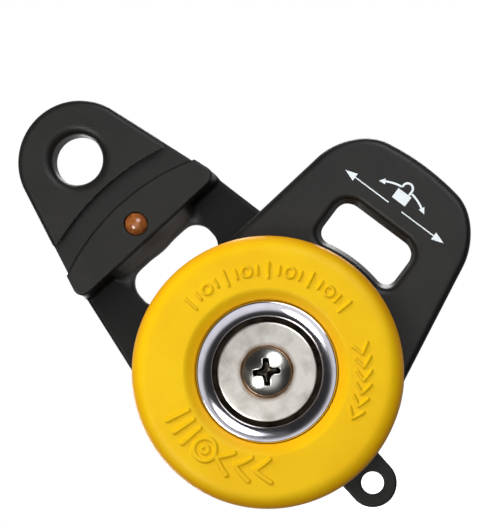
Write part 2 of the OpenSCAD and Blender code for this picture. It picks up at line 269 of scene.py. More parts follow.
def rear_cheek_field(x, y, z):
    """Plate with its window, head, web, boss behind the detent, becket and ring boss."""
    plate_2d = np.maximum(cheek_shape(x, z, END_R), z - PLATE_END_Z)
    plate = smooth_max(plate_2d, np.abs(y - PLATE_MID) - PLATE_HALF, 0.9)
    window = window_shape(x, z, REAR_WINDOW_TOP)
    plate = minus(plate, window, 0.6)
    solid = smooth_min(plate, head_solid(x, y, z), 0.9)
    web_run, web_drop = GAP_HALF + 1.0 - WEB_FRONT_Y, HEAD_FOOT_Z - REAR_WINDOW_TOP
    web = (-(y - WEB_FRONT_Y) * web_drop - (z - HEAD_FOOT_Z) * web_run) / math.hypot(web_run, web_drop)
    web = np.maximum(np.maximum(web, z - HEAD_FOOT_Z - 1), np.maximum(WEB_FRONT_Y - y, y - GAP_HALF - 1.5))
    web = smooth_max(web, np.abs(x) - WINDOW_HALF - 0.8, 1.8)
    solid = smooth_min(solid, web, 0.9)
    solid = smooth_max(solid, y - CHEEK_OUT, 0.6)
    front_r, rear_r = DETENT[2] - HEAD_FOOT_Z, DETENT[2] - REAR_WINDOW_TOP + 0.15
    widening = (rear_r - front_r) / (GAP_HALF - WEB_FRONT_Y)
    cone_r = front_r + widening * np.clip(y - WEB_FRONT_Y, 0, GAP_HALF - WEB_FRONT_Y)
    bump = np.hypot(x, z - DETENT[2]) - cone_r
    bump = smooth_max(bump, np.maximum(WEB_FRONT_Y - y, y - CHEEK_OUT), 0.5)
    solid = smooth_min(solid, bump, 1.2)
    solid = smooth_min(solid, becket_solid(x, y, z), 1.0)
    boss = np.maximum(np.hypot(x, z) - BOSS_R, np.abs(y - CHEEK_OUT) - (BOSS_Y - CHEEK_OUT))
    solid = np.minimum(solid, boss)
    eye = np.hypot(x, z - EYE_Z) - EYE_R
    solid = minus(solid, eye, EYE_ROUND)
    rod = np.hypot(x, z - DETENT[2])
    bore_r = DETENT_R + DETENT_PLAY
    ball = np.hypot(rod, y - DETENT[1]) - bore_r
    pocket = np.maximum(rod - bore_r, np.maximum(DETENT[1] - y, y - PLUG_Y))
    pocket = np.minimum(np.minimum(ball, pocket), np.maximum(rod - DETENT_MOUTH, y - DETENT[1]))
    pocket = np.minimum(pocket, np.maximum(rod - PLUG_BORE_R, PLUG_Y - y))
    solid = minus(solid, pocket, 0.12)
    return np.maximum(solid, -hub_recesses(x, y, z, 1))


def front_cheek_field(x, y, z):
    """The front cheek as it stands when shut, under the head."""
    r = np.hypot(x, z)
    outline = cheek_shape(x, z, END_R)
    front = -CHEEK_OUT - y
    back = smooth_min(y + BAR_Y, smooth_max(y + RIM_Y, RIM_IN - r, 0.3), 0.3)
    back = smooth_min(y + GAP_HALF, smooth_max(back, WINDOW_TOP - WINDOW_DRAFT - z, 0.6), 1.5)
    solid = smooth_max(smooth_max(outline, front, 1.8), back, 0.4)
    notch_run, notch_rise = NOTCH_Y - BAR_Y, END_R - NOTCH_R
    slant = ((NOTCH_R - r) * notch_run + (y + NOTCH_Y) * notch_rise) / math.hypot(notch_run, notch_rise)
    solid = minus(solid, smooth_max(-NOTCH_Y - y, slant, 0.2), 0.3)
    draft = WINDOW_DRAFT * np.clip((y + CHEEK_OUT) / DRAFT_DEPTH, 0, 1)
    window = window_shape(x, z, WINDOW_TOP) + draft
    solid = smooth_max(solid, smooth_max(-window, front, 1.1), 0.3)
    track = np.maximum(np.abs(r - DETENT[2]) - TRACK_HALF, -TRACK_Y - y)
    solid = minus(solid, track, 0.3)
    boss = np.maximum(r - BOSS_R, np.abs(y + CHEEK_OUT) - (BOSS_Y - CHEEK_OUT))
    solid = np.minimum(solid, boss)
    return np.maximum(solid, -hub_recesses(x, y, z, -1))


def screw_field(x, y, z):
    """Pan-head screw with a cross recess, drawn for the front of the block."""
    r = np.hypot(x, z)
    depth = y + SCREW_TOP
    dome = np.hypot(r, depth - SCREW_DOME_R) - SCREW_DOME_R
    head = smooth_max(smooth_max(dome, r - SCREW_R, 0.3), depth - HEAD_DEEP, 0.1)
    turn = math.radians(SCREW_TURN)
    u = np.abs(x * math.cos(turn) - z * math.sin(turn))
    v = np.abs(x * math.sin(turn) + z * math.cos(turn))
    arm = CROSS_ARM - ARM_TAPER * depth
    half = CROSS_HALF - HALF_TAPER * depth
    across = smooth_max(u - arm, v - half, 0.3)
    along = smooth_max(v - arm, u - half, 0.3)
    cross = smooth_min(across, along, 1.0)
    cross = smooth_max(cross, depth - CROSS_DEPTH + 0.25 * r, 0.25)
    head = minus(head, cross, 0.14)
    shank = np.maximum(r - SHANK_R, np.maximum(HEAD_DEEP - 0.1 - depth, y - SCREW_END))
    return np.minimum(head, shank)


# --- Meshes ---------------------------------------------------------------------------------

def surface_net(field, low, high, step):
    """Quads that follow the zero surface of a field, one point in each cell it crosses."""
    low = np.array(low, float)
    axes = [np.arange(a, b + step, step) for a, b in zip(low, high)]
    grid = np.meshgrid(*axes, indexing="ij", sparse=True)
    value = np.broadcast_to(field(*grid), [len(a) for a in axes])
    inside = value < 0
    size = np.array(value.shape) - 1
    corners = list(itertools.product((0, 1), repeat=3))

    def at(array, corner):
        return array[tuple(slice(c, c + n) for c, n in zip(corner, size))]

    count = sum(at(inside, c).astype(np.int8) for c in corners)
    cells = np.argwhere((count > 0) & (count < 8))
    number = np.full(count.shape, -1, np.int64)
    number[tuple(cells.T)] = np.arange(len(cells))
    total = np.zeros((len(cells), 3))
    hits = np.zeros(len(cells))
    for a, b in itertools.combinations(corners, 2):
        a, b = np.array(a), np.array(b)
        if abs(b - a).sum() != 1:
            continue
        va = value[tuple((cells + a).T)]
        vb = value[tuple((cells + b).T)]
        cross = (va < 0) != (vb < 0)
        share = np.where(cross, va / np.where(cross, va - vb, 1), 0)
        total += cross[:, None] * (a + share[:, None] * (b - a))
        hits += cross
    points = low + step * (cells + total / hits[:, None])

    faces = []
    for axis in range(3):
        u, v = np.eye(3, dtype=int)[[(axis + 1) % 3, (axis + 2) % 3]]
        first = np.take(inside, np.arange(size[axis]), axis)
        second = np.take(inside, np.arange(1, size[axis] + 1), axis)
        for here, turned in ((first & ~second, False), (second & ~first, True)):
            edge = np.argwhere(here)
            ring = [number[tuple((edge - d).T)] for d in (u + v, v, 0 * u, u)]
            quad = np.stack(ring[::-1] if turned else ring, 1)
            faces.append(quad)
    return points, np.concatenate(faces).tolist()


def slope(field, p, h=0.01):
    """Direction in which a field grows fastest, at each point."""
    steps = np.eye(3) * h
    g = np.stack([field(*(p + s).T) - field(*(p - s).T) for s in steps], 1)
    return g / np.maximum(np.linalg.norm(g, axis=1, keepdims=True), 1e-9)


def moulded(field, low, high, step):
    """Points, faces and normals of a field's surface, with the points drawn onto it."""
    points, faces = surface_net(field, low, high, step)
    for _ in range(4):
        away = np.clip(field(*points.T), -step / 2, step / 2)
        points -= slope(field, points) * away[:, None]
    return points, faces, slope(field, points)


def linked(name, data):
    """An object in the scene that shows the data."""
    made = bpy.data.objects.new(name, data)
    bpy.context.scene.collection.objects.link(made)
    return made


def mesh_piece(name, points, faces, normals=None, sharp=None, smooth=True):
    """An object from points in millimetres. Normals given are kept; sharp is an angle."""
    mesh = bpy.data.meshes.new(name)
    mesh.from_pydata((np.asarray(points) * MM).tolist(), [], faces)
    mesh.update()
    if smooth:
        mesh.shade_smooth()
    if normals is not None:
        mesh.normals_split_custom_set_from_vertices(normals.tolist())
    if sharp is not None:
        mesh.set_sharp_from_angle(angle=math.radians(sharp))
    return linked(name, mesh)


def turn_about_axle(points, degrees):
    """Points turned about Y, clockwise as seen from the front."""
    a = math.radians(degrees)
    x, y, z = np.asarray(points).T
    return np.stack([x * math.cos(a) + z * math.sin(a), y, z * math.cos(a) - x * math.sin(a)], 1)


def place(piece, body, material, slot, *nodes):
    """Gives a piece its material and lets it ride in place of CAD nodes; slot is not used."""
    piece.data.materials.append(material)
    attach(piece, body)
    if nodes:
        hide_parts(*nodes)
    return piece


def arc(centre, radius, start, end, count=10):
    """Points [r, y] on an arc; 0 degrees is away from the axle and 90 towards +Y."""
    t = np.radians(np.linspace(start, end, count + 1))
    return [(centre[0] + radius * math.cos(a), centre[1] + radius * math.sin(a)) for a in t]


def turned(profile, count=192, lift=None):
    """A closed profile of [r, y] turned about the axle. lift(angle, r) raises points in -Y."""
    profile = np.array(profile, float)
    phi = np.linspace(0, 2 * math.pi, count, endpoint=False)
    r = np.repeat(profile[:, 0][None], count, 0)
    y = np.repeat(profile[:, 1][None], count, 0)
    if lift is not None:
        y = y - lift(phi[:, None], r, y)
    points = np.stack([r * np.sin(phi)[:, None], y, r * np.cos(phi)[:, None]], -1)
    rows = len(profile)
    i, j = np.meshgrid(np.arange(count), np.arange(rows), indexing="ij")
    i2, j2 = (i + 1) % count, (j + 1) % rows
    faces = np.stack([i * rows + j, i * rows + j2, i2 * rows + j2, i2 * rows + j], -1)
    return points.reshape(-1, 3), faces.reshape(-1, 4).tolist()


def outward(profile):
    """The profile in the order that makes turned() face outward."""
    p = np.array(profile, float)
    q = np.roll(p, -1, 0)
    area = (p[:, 0] * q[:, 1] - q[:, 0] * p[:, 1]).sum()
    return p if area > 0 else p[::-1]


def mirrored(points, faces):
    """The same piece on the rear side."""
    return np.asarray(points) * [1, -1, 1], np.asarray(faces)[:, ::-1].tolist()


# --- Materials ------------------------------------------------------------------------------

class Look:
    """A Principled material whose details are built from nodes in object coordinates."""

    def __init__(self, name, colour, roughness, metallic=0.0, **inputs):
        self.material = bpy.data.materials.new(name)
        self.material.use_nodes = True
        self.tree = self.material.node_tree
        self.shader = self.tree.nodes["Principled BSDF"]
        self.set("Base Color", (*colour, 1))
        self.set("Roughness", roughness)
        self.set("Metallic", metallic)
        for key, value in inputs.items():
            self.set(key.replace("_", " "), value)
        self.place = self.node("ShaderNodeTexCoord").outputs["Object"]

    def node(self, kind, **settings):
        made = self.tree.nodes.new(kind)
        for key, value in settings.items():
            setattr(made, key, value)
        return made

    def join(self, source, target):
        self.tree.links.new(source, target)

    def set(self, socket, value):
        self.shader.inputs[socket].default_value = value

    def drive(self, socket, source):
        self.join(source, self.shader.inputs[socket])

    def stretched(self, scale, turn=(0, 0, 0)):
        mapping = self.node("ShaderNodeMapping")
        mapping.inputs["Scale"].default_value = scale
        mapping.inputs["Rotation"].default_value = [math.radians(a) for a in turn]
        self.join(self.place, mapping.inputs["Vector"])
        return mapping.outputs["Vector"]

    def noise(self, per_mm, detail=3.0, roughness=0.55, vector=None):
        made = self.node("ShaderNodeTexNoise")
        made.inputs["Scale"].default_value = per_mm / MM
        made.inputs["Detail"].default_value = detail
        made.inputs["Roughness"].default_value = roughness
        self.join(vector or self.place, made.inputs["Vector"])
        return made.outputs["Fac"]

    def span(self, source, low, high, out_low=0.0, out_high=1.0):
        made = self.node("ShaderNodeMapRange", clamp=True)
        for key, value in zip(("From Min", "From Max", "To Min", "To Max"), (low, high, out_low, out_high)):
            made.inputs[key].default_value = value
        self.join(source, made.inputs["Value"])
        return made.outputs["Result"]

    def math(self, operation, a, b):
        made = self.node("ShaderNodeMath", operation=operation)
        for slot_, value in zip(made.inputs, (a, b)):
            if isinstance(value, (int, float)):
                slot_.default_value = value
            else:
                self.join(value, slot_)
        return made.outputs[0]

    def mix(self, share, a, b):
        """Colour between a and b; each is a colour or a socket."""
        made = self.node("ShaderNodeMix", data_type="RGBA")
        self.join(share, made.inputs["Factor"])
        for key, value in (("A", a), ("B", b)):
            socket = [s for s in made.inputs if s.name == key and s.type == "RGBA"][0]
            if isinstance(value, tuple):
                socket.default_value = (*value, 1)
            else:
                self.join(value, socket)
        return [s for s in made.outputs if s.type == "RGBA"][0]

    def radius(self):
        """Distance from the axle, in millimetres."""
        part = self.node("ShaderNodeSeparateXYZ")
        self.join(self.place, part.inputs[0])
        x2 = self.math("MULTIPLY", part.outputs["X"], part.outputs["X"])
        z2 = self.math("MULTIPLY", part.outputs["Z"], part.outputs["Z"])
        r = self.math("SQRT", self.math("ADD", x2, z2), 0.0)
        return self.math("MULTIPLY", r, 1 / MM)

    def facing_front(self):
        """1 on faces that look to the front of the block, 0 on side walls."""
        part = self.node("ShaderNodeSeparateXYZ")
        self.join(self.node("ShaderNodeNewGeometry").outputs["Normal"], part.inputs[0])
        return self.math("MULTIPLY", part.outputs["Y"], -1.0)

    def axis(self, name):
        """Position along X, Y or Z, in millimetres."""
        part = self.node("ShaderNodeSeparateXYZ")
        self.join(self.place, part.inputs[0])
        return self.math("MULTIPLY", part.outputs[name], 1 / MM)

    def bump(self, *layers):
        """Each layer is (height socket, depth in millimetres)."""
        normal = None
        for height, depth in layers:
            made = self.node("ShaderNodeBump")
            made.inputs["Strength"].default_value = 1.0
            made.inputs["Distance"].default_value = depth * MM
            self.join(height, made.inputs["Height"])
            if normal:
                self.join(normal, made.inputs["Normal"])
            normal = made.outputs["Normal"]
        self.drive("Normal", normal)


def composite_look():
    """Black moulded plastic filled with carbon fibre: fine grain, flow marks, painted shade in the hollows and
    painted light under the head.
    """
    look = Look("moulded_composite", (0.02, 0.02, 0.02), 0.5, Specular_IOR_Level=0.42)
    grain = look.noise(3.2, 4)
    cloud = look.noise(0.12, 3)
    fibres = look.noise(1.6, 3, vector=look.stretched((1, 1, 0.18), (0, 34, 0)))
    body = look.mix(look.span(cloud, 0.35, 0.65), (0.008, 0.0076, 0.0068), (0.0112, 0.0106, 0.0094))
    body = look.mix(look.span(fibres, 0.55, 0.8, 0, 0.5), body, (0.018, 0.017, 0.015))
    depth, height = look.axis("Y"), look.axis("Z")
    # painted shade: hollows seen from the front are painted darker, for the shade that falls in them
    recess = look.math("MULTIPLY", look.span(depth, -1.5, 4.5), look.span(depth, 10.8, 8.2))
    recess = look.math("MULTIPLY", recess, look.span(look.facing_front(), 0.5, 0.9))
    recess = look.math("MULTIPLY", recess, look.span(height, 24, 36, 0.6, 1.0))
    body = look.mix(look.math("MULTIPLY", recess, 0.75), body, (0.002, 0.002, 0.002))
    # painted light: the underside of the head, above the window, is painted a paler grey, streaked along the
    # fibres, for the light that falls on it
    wall = look.math("MULTIPLY", look.span(height, 33.0, 34.5), look.span(height, 37.3, 36.9))
    across = look.span(look.math("ABSOLUTE", look.axis("X"), 0.0), 11.0, 9.0)
    painted_light_under_head = look.math("MULTIPLY", wall, across)
    painted_light_under_head = look.math("MULTIPLY", painted_light_under_head, look.span(depth, -1.6, 7.0, 0.3, 1.0))
    painted_light_under_head = look.math("MULTIPLY", painted_light_under_head, look.span(fibres, 0.3, 0.7, 0.5, 1.0))
    body = look.mix(painted_light_under_head, body, (0.085, 0.09, 0.095))
    look.drive("Base Color", body)
    # painted shade: the sheen is lowered in the same hollows
    look.drive("Specular IOR Level", look.span(recess, 0.0, 1.0, 0.36, 0.16))
    look.drive("Roughness", look.span(look.math("ADD", cloud, grain), 0.7, 1.3, 0.42, 0.56))
    look.bump((grain, 0.03), (fibres, 0.015))
    return look.material


def rubber_look():
    """Yellow rubber: satin skin with faint mottling, a few rubbed, darker marks, and painted orange shade round
    its outer edge and its inner bevel.
    """
    look = Look("yellow_rubber", (0.9, 0.55, 0.01), 0.46, Specular_IOR_Level=0.14)
    cloud = look.noise(0.09, 4)
    grain = look.noise(2.2, 4)
    body = look.mix(look.span(cloud, 0.3, 0.7), (0.73, 0.425, 0.0025), (0.78, 0.485, 0.004))
    # painted shade: a deeper orange towards the outer round edge, for the shade on it
    rim = look.span(look.radius(), RING_R - 1.9, RING_R, 0, 0.8)
    body = look.mix(rim, body, (0.8, 0.33, 0.004))
    # painted shade: a deeper orange down the inner bevel to the cup, for the shade on it
    bevel = look.span(look.radius(), CUP_R + 2.2, CUP_R, 0, 0.6)
    body = look.mix(bevel, body, (0.86, 0.36, 0.004))
    marks = look.noise(0.35, 6, 0.7, vector=look.stretched((1, 1, 0.35), (0, 70, 0)))
    body = look.mix(look.span(marks, 0.68, 0.78, 0, 0.45), body, (0.55, 0.2, 0.01))
    look.drive("Base Color", body)
    look.drive("Roughness", look.span(grain, 0.3, 0.7, 0.36, 0.5))
    look.bump((grain, 0.012), (cloud, 0.12))
    return look.material


def polished_look(name, tint, roughness, streaks):
    """Turned and polished steel with faint rings from the lathe and light haze."""
    look = Look(name, tint, roughness, 1.0)
    rings = look.node("ShaderNodeTexNoise", noise_dimensions="1D")
    rings.inputs["Scale"].default_value = 9.0
    rings.inputs["Detail"].default_value = 4
    look.join(look.radius(), rings.inputs["W"])
    haze = look.noise(0.25, 4)
    look.drive("Roughness", look.span(haze, 0.3, 0.75, roughness * 0.75, roughness * 1.7))
    dark = tuple(c * 0.86 for c in tint)
    look.drive("Base Color", look.mix(look.span(haze, 0.35, 0.7), tint, dark))
    look.bump((rings.outputs["Fac"], streaks))
    return look


def screw_look():
    """Polished screw head, painted near-black inside its cross recess as painted shade, with a warm tarnish at its
    rim.
    """
    look = polished_look("screw_steel", (0.78, 0.76, 0.71), 0.19, 0.002)
    # painted shade: the inside of the cross recess is painted near-black
    depth = look.math("SUBTRACT", SCREW_TOP, look.math("ABSOLUTE", look.axis("Y"), 0.0))
    sag = look.math("MULTIPLY", look.math("POWER", look.radius(), 2.0), 1 / (2 * SCREW_DOME_R))
    recess = look.span(look.math("SUBTRACT", depth, sag), 0.12, 0.45)
    near = look.span(look.radius(), 3.4, 3.2)
    recess_shade = look.math("MULTIPLY", recess, near)
    rim = look.span(look.radius(), SCREW_R - 0.6, SCREW_R - 0.1)
    base = look.shader.inputs["Base Color"].links[0].from_socket
    body = look.mix(look.math("MULTIPLY", rim, 0.85), base, (0.5, 0.26, 0.07))
    look.drive("Base Color", look.mix(recess_shade, body, (0.03, 0.026, 0.02)))
    return look.material


def washer_look():
    """Satin steel washer, scratched both ways, with a painted brown shadow round the screw."""
    tint = (0.78, 0.75, 0.69)
    look = Look("satin_steel", tint, 0.34, 1.0)
    haze = look.noise(0.3, 5)
    fine = look.noise(2.4, 4, vector=look.stretched((1, 1, 0.06), (0, 52, 0)))
    scratch = look.noise(1.1, 2, vector=look.stretched((1, 1, 0.03), (0, -28, 0)))
    # painted shadow: a brown ring round the screw head, broken up by the haze
    screw_shadow = look.span(look.radius(), SCREW_R + 1.0, SCREW_R + 0.1)
    screw_shadow = look.math("MULTIPLY", screw_shadow, look.span(haze, 0.2, 0.6, 0.4, 1.0))
    body = look.mix(look.span(haze, 0.4, 0.7), tint, (0.5, 0.47, 0.42))
    body = look.mix(screw_shadow, body, (0.2, 0.1, 0.035))
    # painted shade: the outer edge is darkened, beside the shaded gap to the cup
    rim = look.span(look.radius(), WASHER_R - 0.5, WASHER_R)
    body = look.mix(look.math("MULTIPLY", rim, 0.5), body, (0.36, 0.32, 0.27))
    look.drive("Base Color", body)
    look.drive("Roughness", look.span(look.math("ADD", haze, fine), 0.7, 1.4, 0.26, 0.42))
    look.bump((fine, 0.002), (look.span(scratch, 0.7, 0.76), 0.006))
    return look.material


def tarnished_look(name, tint, dark, roughness):
    """Bronze or steel with blotches of oxide."""
    look = Look(name, tint, roughness, 1.0)
    blotch = look.noise(0.5, 5)
    look.drive("Base Color", look.mix(look.span(blotch, 0.35, 0.7), tint, dark))
    look.drive("Roughness", look.span(blotch, 0.3, 0.7, roughness * 0.8, roughness * 1.4))
    look.bump((look.noise(3.0, 3), 0.008))
    return look.material


def anodised_look():
    look = Look("anodised_aluminium", (0.1, 0.1, 0.11), 0.35, 1.0)
    rings = look.node("ShaderNodeTexNoise", noise_dimensions="1D")
    rings.inputs["Scale"].default_value = 7.0
    look.join(look.radius(), rings.inputs["W"])
    wear = look.noise(0.4, 4)
    look.drive("Base Color", look.mix(look.span(wear, 0.55, 0.8), (0.09, 0.09, 0.1), (0.2, 0.2, 0.21)))
    look.drive("Roughness", look.span(wear, 0.3, 0.7, 0.28, 0.42))
    look.bump((rings.outputs["Fac"], 0.01))
    return look.material


def ball_look():
    """Hard brown bearing plastic: cloudy inside, glossy outside."""
    look = Look("bearing_plastic", (0.33, 0.11, 0.03), 0.16, Coat_Weight=0.6, Coat_Roughness=0.06,
                Subsurface_Weight=0.15, Subsurface_Scale=0.0008)
    cloud = look.noise(0.8, 4)
    body = look.mix(look.span(cloud, 0.35, 0.65), (0.36, 0.115, 0.025), (0.17, 0.05, 0.014))
    look.drive("Base Color", body)
    look.drive("Roughness", look.span(look.noise(4, 3), 0.3, 0.7, 0.14, 0.26))
    return look.material


def plastic_look(name, colour, roughness):
    look = Look(name, colour, roughness)
    cloud = look.noise(0.4, 4)
    dark = tuple(c * 0.86 for c in colour)
    look.drive("Base Color", look.mix(look.span(cloud, 0.3, 0.7), colour, dark))
    look.drive("Roughness", look.span(look.noise(2.5, 3), 0.3, 0.7, roughness - 0.06, roughness + 0.06))
    look.bump((look.noise(2.5, 3), 0.01))
    return look.material


def ink_look():
    """Pad-printed pale ink, rubbed thin here and there so that the plastic shows through in specks."""
    pale_ink = (0.72, 0.78, 0.8)
    look = Look("print_ink", pale_ink, 0.5)
    specks = look.noise(3.5, 3)
    body = look.mix(look.span(specks, 0.64, 0.74, 0, 0.6), pale_ink, (0.3, 0.32, 0.33))
    look.drive("Base Color", body)
    look.drive("Roughness", look.span(specks, 0.3, 0.7, 0.4, 0.6))
    return look.material


composite = composite_look()
rubber = rubber_look()
cup_steel = polished_look("polished_steel", (0.76, 0.74, 0.81), 0.13, 0.001).material
screw_steel = screw_look()
hub_steel = polished_look("hub_steel", (0.6, 0.6, 0.62), 0.25, 0.008).material
washer_steel = washer_look()
# painted shade: the bush's bronze gets a near-black tint for the shade it sits in; its oxide blotches are its own
bronze = tarnished_look("oxidised_bronze_in_painted_shade", (0.035, 0.027, 0.018), (0.01, 0.008, 0.006), 0.45)
plug_steel = tarnished_look("plug_steel", (0.35, 0.35, 0.36), (0.16, 0.15, 0.14), 0.4)
spring_steel = tarnished_look("spring_steel", (0.6, 0.6, 0.62), (0.4, 0.39, 0.37), 0.25)
anodised = anodised_look()
ball_plastic = ball_look()
cage_plastic = plastic_look("cage_acetal", (0.7, 0.68, 0.63), 0.45)
slip_plastic = plastic_look("slip_plastic", (0.75, 0.75, 0.73), 0.4)
ink = ink_look()


# --- Cheeks ---------------------------------------------------------------------------------

MARGIN = 1.0
rear_low, rear_high = box_mm("rear_cheek")
points, faces, normals = moulded(rear_cheek_field, rear_low - MARGIN, rear_high + MARGIN, CHEEK_STEP)
place(mesh_piece("rear_cheek_moulding", points, faces, normals),
      "frame", composite, "composite", "rear_cheek")

half_width = PLATE_R + MARGIN
points, faces, normals = moulded(
    front_cheek_field, (-half_width, -BOSS_Y - MARGIN, -half_width),
    (half_width, -RIM_Y + MARGIN, END_R + MARGIN), CHEEK_STEP)
place(mesh_piece("front_cheek_moulding", turn_about_axle(points, OPEN_ANGLE), faces,
                 turn_about_axle(normals, OPEN_ANGLE)),
      "swing_cheek", composite, "composite", "front_cheek")


# --- Rubber rings ---------------------------------------------------------------------------

RING_BORE = CUP_R + 0.1
RING_EDGE = 3.6
BEVEL_DROP = 1.2
EMBOSS = 0.42                               # height of the raised marks
FINE_STROKE, WIDE_STROKE = 0.26, 0.42       # half widths


def smoothstep(low, high, value):
    t = np.clip((value - low) / (high - low), 0, 1)
    return t * t * (3 - 2 * t)


def ring_profile():
    """Bevel down to the cup, a broad crowned face, a round outer edge and a plain back."""
    face_r = np.concatenate([np.linspace(RING_BORE + 0.25, 16.4, 14), np.arange(16.55, 23.4, 0.15)])
    drop = BEVEL_DROP * (1 - smoothstep(14.0, 16.7, face_r)) + 0.02 * np.maximum(face_r - 19, 0)
    face = [(r, -RING_TOP + d) for r, d in zip(face_r, drop)]
    edge_centre = (RING_R - RING_EDGE, -RING_TOP + RING_EDGE + 0.1)
    edge = arc(edge_centre, RING_EDGE, 270, 360, 24)
    foot_y, boss_side, boss_top = -CHEEK_OUT - 0.02, BOSS_R + 0.1, -BOSS_Y - 0.1
    back = [(RING_R, -CHEEK_OUT - 0.4), (RING_R - 0.35, foot_y), (BOSS_R + 0.5, foot_y),
            (boss_side, -CHEEK_OUT - 0.3), (boss_side, boss_top), (RING_BORE, boss_top),
            (RING_BORE, -RING_TOP + BEVEL_DROP + 0.2)]
    return outward(face + edge + back)


def capsule(u, v, u0, v0, u1, v1, half):
    """Distance to a stroke with round ends."""
    du, dv = u1 - u0, v1 - v0
    t = np.clip(((u - u0) * du + (v - v0) * dv) / (du * du + dv * dv), 0, 1)
    return np.hypot(u - u0 - t * du, v - v0 - t * dv) - half


def arc_marks(phi, r, middle_deg, mid_r, marks):
    """Strokes and rings laid along an arc, in place of lettering. u runs clockwise."""
    turn = (phi - math.radians(middle_deg) + math.pi) % (2 * math.pi) - math.pi
    u, v = turn * mid_r, r - mid_r
    near = np.full(np.broadcast(u, v).shape, np.inf)
    for mark in marks:
        if mark[0] == "ring":
            d = np.abs(np.hypot(u - mark[1], v - mark[2]) - mark[3]) - mark[4]
        else:
            d = capsule(u, v, *mark[1:])
        near = np.minimum(near, d)
    return near


def scale_marks(count, pitch, half):
    """A dial-like scale: long strokes, with a ring halfway between them and short strokes beside it."""
    marks = []
    for i in range(count):
        u = (i - (count - 1) / 2) * pitch
        if i % 4 == 0:
            marks.append(("stroke", u, -1.5, u, 1.5, half))
        elif i % 4 == 2:
            marks.append(("ring", u, 0.0, 0.95, half))
        else:
            marks.append(("stroke", u, -0.8, u, 0.8, half))
    return marks


def chevrons(count, pitch, height, half):
    """A row of arrowheads that show which way the sheave may turn."""
    marks = []
    for i in range(count):
        u = (i - (count - 1) / 2) * pitch
        marks.append(("stroke", u - height / 3, -height / 2, u + height / 3, 0.0, half))
        marks.append(("stroke", u + height / 3, 0.0, u - height / 3, height / 2, half))
    return marks


def ring_lift(phi, r, y):
    """Height of the raised marks on the face of a ring."""
    near = arc_marks(phi, r, -36, 20.0, scale_marks(17, 2.15, FINE_STROKE))
    near = np.minimum(near, arc_marks(phi, r, 59, 19.2, chevrons(6, 2.6, 2.9, 0.27)))
    shift, target_u, bar_half = -6.5, 1.8, 2.3
    wide = [(kind, u0 + shift, v0, u1 + shift, v1, half)
            for kind, u0, v0, u1, v1, half in chevrons(3, 4.0, 4.6, WIDE_STROKE)]
    wide += [("ring", target_u, 0.0, ring_r, WIDE_STROKE) for ring_r in (2.2, 0.7)]
    wide += [("stroke", u, -bar_half, u, bar_half, WIDE_STROKE) for u in (5.6, 8.0, 10.4)]
    near = np.minimum(near, arc_marks(phi, r, -184, 19.4, wide))
    face = (y < -RING_TOP + 1.0) & (r > 16)
    return np.where(face, EMBOSS * (1 - smoothstep(-0.16, 0.14, near)), 0)


points, faces = turned(ring_profile(), TURNS, ring_lift)
rear_points, rear_faces = mirrored(points, faces)
place(mesh_piece("front_ring_moulding", turn_about_axle(points, OPEN_ANGLE), faces),
      "swing_cheek", rubber, "rubber", "front_rubber_ring")
place(mesh_piece("rear_ring_moulding", rear_points, rear_faces),
      "frame", rubber, "rubber", "rear_rubber_ring")


# --- Turned metal ---------------------------------------------------------------------------

def both_sides(name, node, profile, body, material, slot):
    """A turned part of the front, and its copy at the rear that belongs to the frame."""
    points, faces = turned(outward(profile))
    place(mesh_piece("front_" + name, points, faces, sharp=40), body, material, slot, "front_" + node)
    rear_points, rear_faces = mirrored(points, faces)
    place(mesh_piece("rear_" + name, rear_points, rear_faces, sharp=40),
          "frame", material, slot, "rear_" + node)


cup_in = 10.85
flare = 4.0
lip_round = 0.6
shallow = 5.0
lip_centre = (CUP_R - lip_round, -CUP_LIP + lip_round)
flare_centre = (lip_centre[0] + (flare - lip_round) * math.sin(math.radians(shallow)),
                lip_centre[1] + (flare - lip_round) * math.cos(math.radians(shallow)))
steep = math.degrees(math.asin((flare_centre[0] - cup_in - 0.1) / flare))
cup_profile = (
    [(cup_in, -THRUST_OUT), (cup_in, -CUP_LIP + 1.6)]
    + arc(flare_centre, flare, 270 - steep, 270 - shallow, 24)
    + arc(lip_centre, lip_round, 270 - shallow + 3, 360, 20)
    + [(CUP_R, -CUP_LIP + 1.6), (NECK_R + 1.25, -CUP_LIP + 1.6), (NECK_R - 0.02, -CUP_LIP + 2.9),
       (NECK_R - 0.02, -THRUST_OUT)])
both_sides("flared_cup", "cup", cup_profile, "swing_cheek", cup_steel, "cup_steel")

edge = 0.22
seat_r = SCREW_R + 0.15
seat_y = WASHER_FACE - 0.8
crown = [(r, -WASHER_FACE + 0.2 * ((r - seat_r) / (WASHER_R - seat_r)) ** 2)
         for r in np.linspace(seat_r + 0.08, WASHER_R - edge - 0.05, 16)]
washer_profile = (
    [(2.65, -WASHER_BACK), (2.65, -seat_y), (seat_r, -seat_y), (seat_r, -WASHER_FACE + 0.08)] + crown
    + arc((WASHER_R - edge, -WASHER_FACE + edge + 0.2), edge, 275, 360, 5)
    + [(WASHER_R, -WASHER_BACK - edge), (WASHER_R - edge, -WASHER_BACK)])
both_sides("end_washer", "washer", washer_profile, "frame", washer_steel, "washer_steel")

